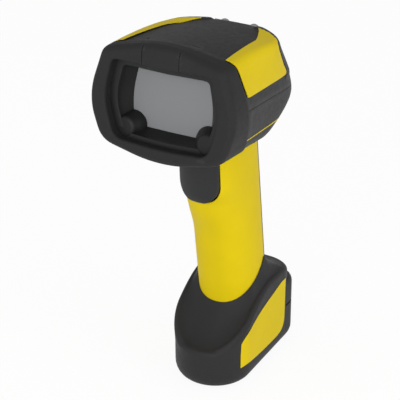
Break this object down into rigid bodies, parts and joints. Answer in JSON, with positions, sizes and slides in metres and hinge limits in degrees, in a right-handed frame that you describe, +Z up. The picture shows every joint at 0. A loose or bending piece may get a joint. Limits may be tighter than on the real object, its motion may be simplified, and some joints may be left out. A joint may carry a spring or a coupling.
{
  "type": "portable code reader",
  "caption": "Cordless pistol-grip code reader: rubber-fronted head with a recessed window, trigger handle and a flared foot holding a slide-out battery.",
  "frame": {"origin": "on the floor, on the middle line, at the centre of the foot's flat underside", "axes": "+Z up along the height; -Y is the way the window faces; +X is the right side seen from behind the trigger's user"},
  "size_m": [0.076, 0.1105, 0.2007],
  "materials": {
    "black_case": "fine satin moulded plastic, charcoal black",
    "black_rubber": "matt overmoulded rubber, charcoal black",
    "yellow_case": "satin moulded plastic, warm yellow",
    "window_tint": "smoke-grey scan window",
    "lens_clear": "clear moulded lens",
    "recess_black": "matt black inside the window recess",
    "seal_rubber": "soft black gasket",
    "steel_plate": "plain pressed steel",
    "screw_steel": "plated screws",
    "grey_plastic": "grey moulded frame",
    "optic_black": "black optics housing",
    "board_green": "solder-masked circuit board",
    "chip_black": "moulded chip packages",
    "led_white": "white diode lenses",
    "contact_gold": "gold-plated contacts",
    "cell_sleeve": "shrink sleeve on the cells",
    "lead_red": "insulated leads",
    "button_red": "moulded switch plunger",
    "film_amber": "polyimide flexible circuit"
  },
  "bodies": {
    "reader": {"front_bumper": "black_rubber", "window_bezel": "recess_black", "scan_window": "window_tint", "window_seal": "seal_rubber", "head_top_cover": "black_case", "head_lower_shell": "black_case", "left_head_panel": "yellow_case", "right_head_panel": "yellow_case", "left_accent_strip": "yellow_case", "right_accent_strip": "yellow_case", "cover_screws": "screw_steel", "status_lens": "lens_clear", "hanger_bracket": "steel_plate", "hanger_screws": "screw_steel", "engine_frame": "grey_plastic", "frame_screws": "screw_steel", "imager_module": "optic_black", "imager_lens": "lens_clear", "aiming_laser": "contact_gold", "illumination_board": "board_green", "illumination_leds": "led_white", "main_board": "board_green", "board_chips": "chip_black", "radio_module": "steel_plate", "beeper": "chip_black", "flex_cable": "film_amber", "handle_shell": "yellow_case", "neck_screws": "screw_steel", "rear_grip": "black_rubber", "grip_screws": "screw_steel", "trigger_pin": "screw_steel", "trigger_spring": "screw_steel", "switch_bracket": "grey_plastic", "trigger_switch": "chip_black", "power_leads": "lead_red", "foot_housing": "black_case", "foot_screws": "screw_steel", "left_foot_panel": "yellow_case", "right_foot_panel": "yellow_case", "contact_block": "optic_black", "contact_pins": "contact_gold", "charge_contacts": "contact_gold"},
    "trigger": {"trigger": "black_case"},
    "plunger": {"switch_plunger": "button_red"},
    "battery": {"battery_case": "black_case", "battery_lid": "optic_black", "battery_cells": "cell_sleeve", "battery_board": "board_green", "battery_pads": "contact_gold"},
    "battery_screw": {"battery_screw": "screw_steel"}
  },
  "joints": [
    {"name": "trigger_pull", "type": "hinge", "parent": "reader", "child": "trigger", "pos_m": [0, -0.0235, 0.133], "axis": [1, 0, 0], "range_deg": [0, 4.5], "stiffness_Nm_per_rad": 0.9, "springref_deg": -2.29, "deforming": ["trigger_spring"]},
    {"name": "plunger_press", "type": "slide", "parent": "reader", "child": "plunger", "axis": [0, 1, 0], "range_m": [0, 0.0012]},
    {"name": "battery_slide", "type": "slide", "parent": "reader", "child": "battery", "axis": [0, 1, 0], "range_m": [0, 0.05]},
    {"name": "battery_screw_turn", "type": "hinge", "parent": "battery", "child": "battery_screw", "pos_m": [0, 0.0352, 0.0284], "axis": [0, 1, 0], "range_deg": [-720, 0]}
  ],
  "couplings": [
    {"joint": "plunger_press", "follows": "trigger_pull", "m_per_rad": 0.0145}
  ]
}
